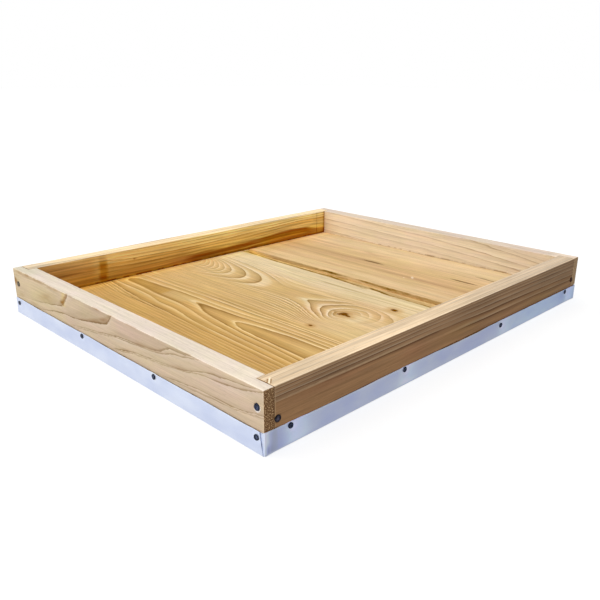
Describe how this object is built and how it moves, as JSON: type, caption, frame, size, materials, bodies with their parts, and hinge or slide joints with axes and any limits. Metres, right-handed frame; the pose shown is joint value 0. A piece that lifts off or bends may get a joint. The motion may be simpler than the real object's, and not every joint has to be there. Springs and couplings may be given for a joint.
{
  "type": "telescoping hive cover",
  "caption": "Shallow rectangular wooden hive lid with a rabbeted rim, lapped roof planks and a folded sheet-metal roof pan nailed round the edge; its rim slides down over a hive body.",
  "frame": {"origin": "middle of the cover, on the underside of the metal roof, which is the face it lies on in the picture", "axes": "+X along the long sides, towards the narrow plank; +Y along the short sides; +Z out of the open side. In use the cover is turned over, half a turn about X."},
  "size_m": [0.563, 0.4668, 0.0575],
  "materials": {
    "rail_wood": "sawn and planed softwood, unfinished",
    "plank_wood": "planed softwood, unfinished",
    "sheet_metal": "plain mill finish, satin",
    "nail_steel": "dark bright-drawn nail"
  },
  "bodies": {
    "root": {"left_end_rail": "rail_wood", "right_end_rail": "rail_wood", "front_side_rail": "rail_wood", "rear_side_rail": "rail_wood", "wide_top_plank": "plank_wood", "narrow_top_plank": "plank_wood", "roof_pan": "sheet_metal", "left_flange_nails": "nail_steel", "right_flange_nails": "nail_steel", "front_flange_nails": "nail_steel", "rear_flange_nails": "nail_steel", "left_corner_nails": "nail_steel", "right_corner_nails": "nail_steel", "front_corner_nails": "nail_steel", "rear_corner_nails": "nail_steel", "wide_plank_nails": "nail_steel", "narrow_plank_nails": "nail_steel"}
  },
  "joints": []
}
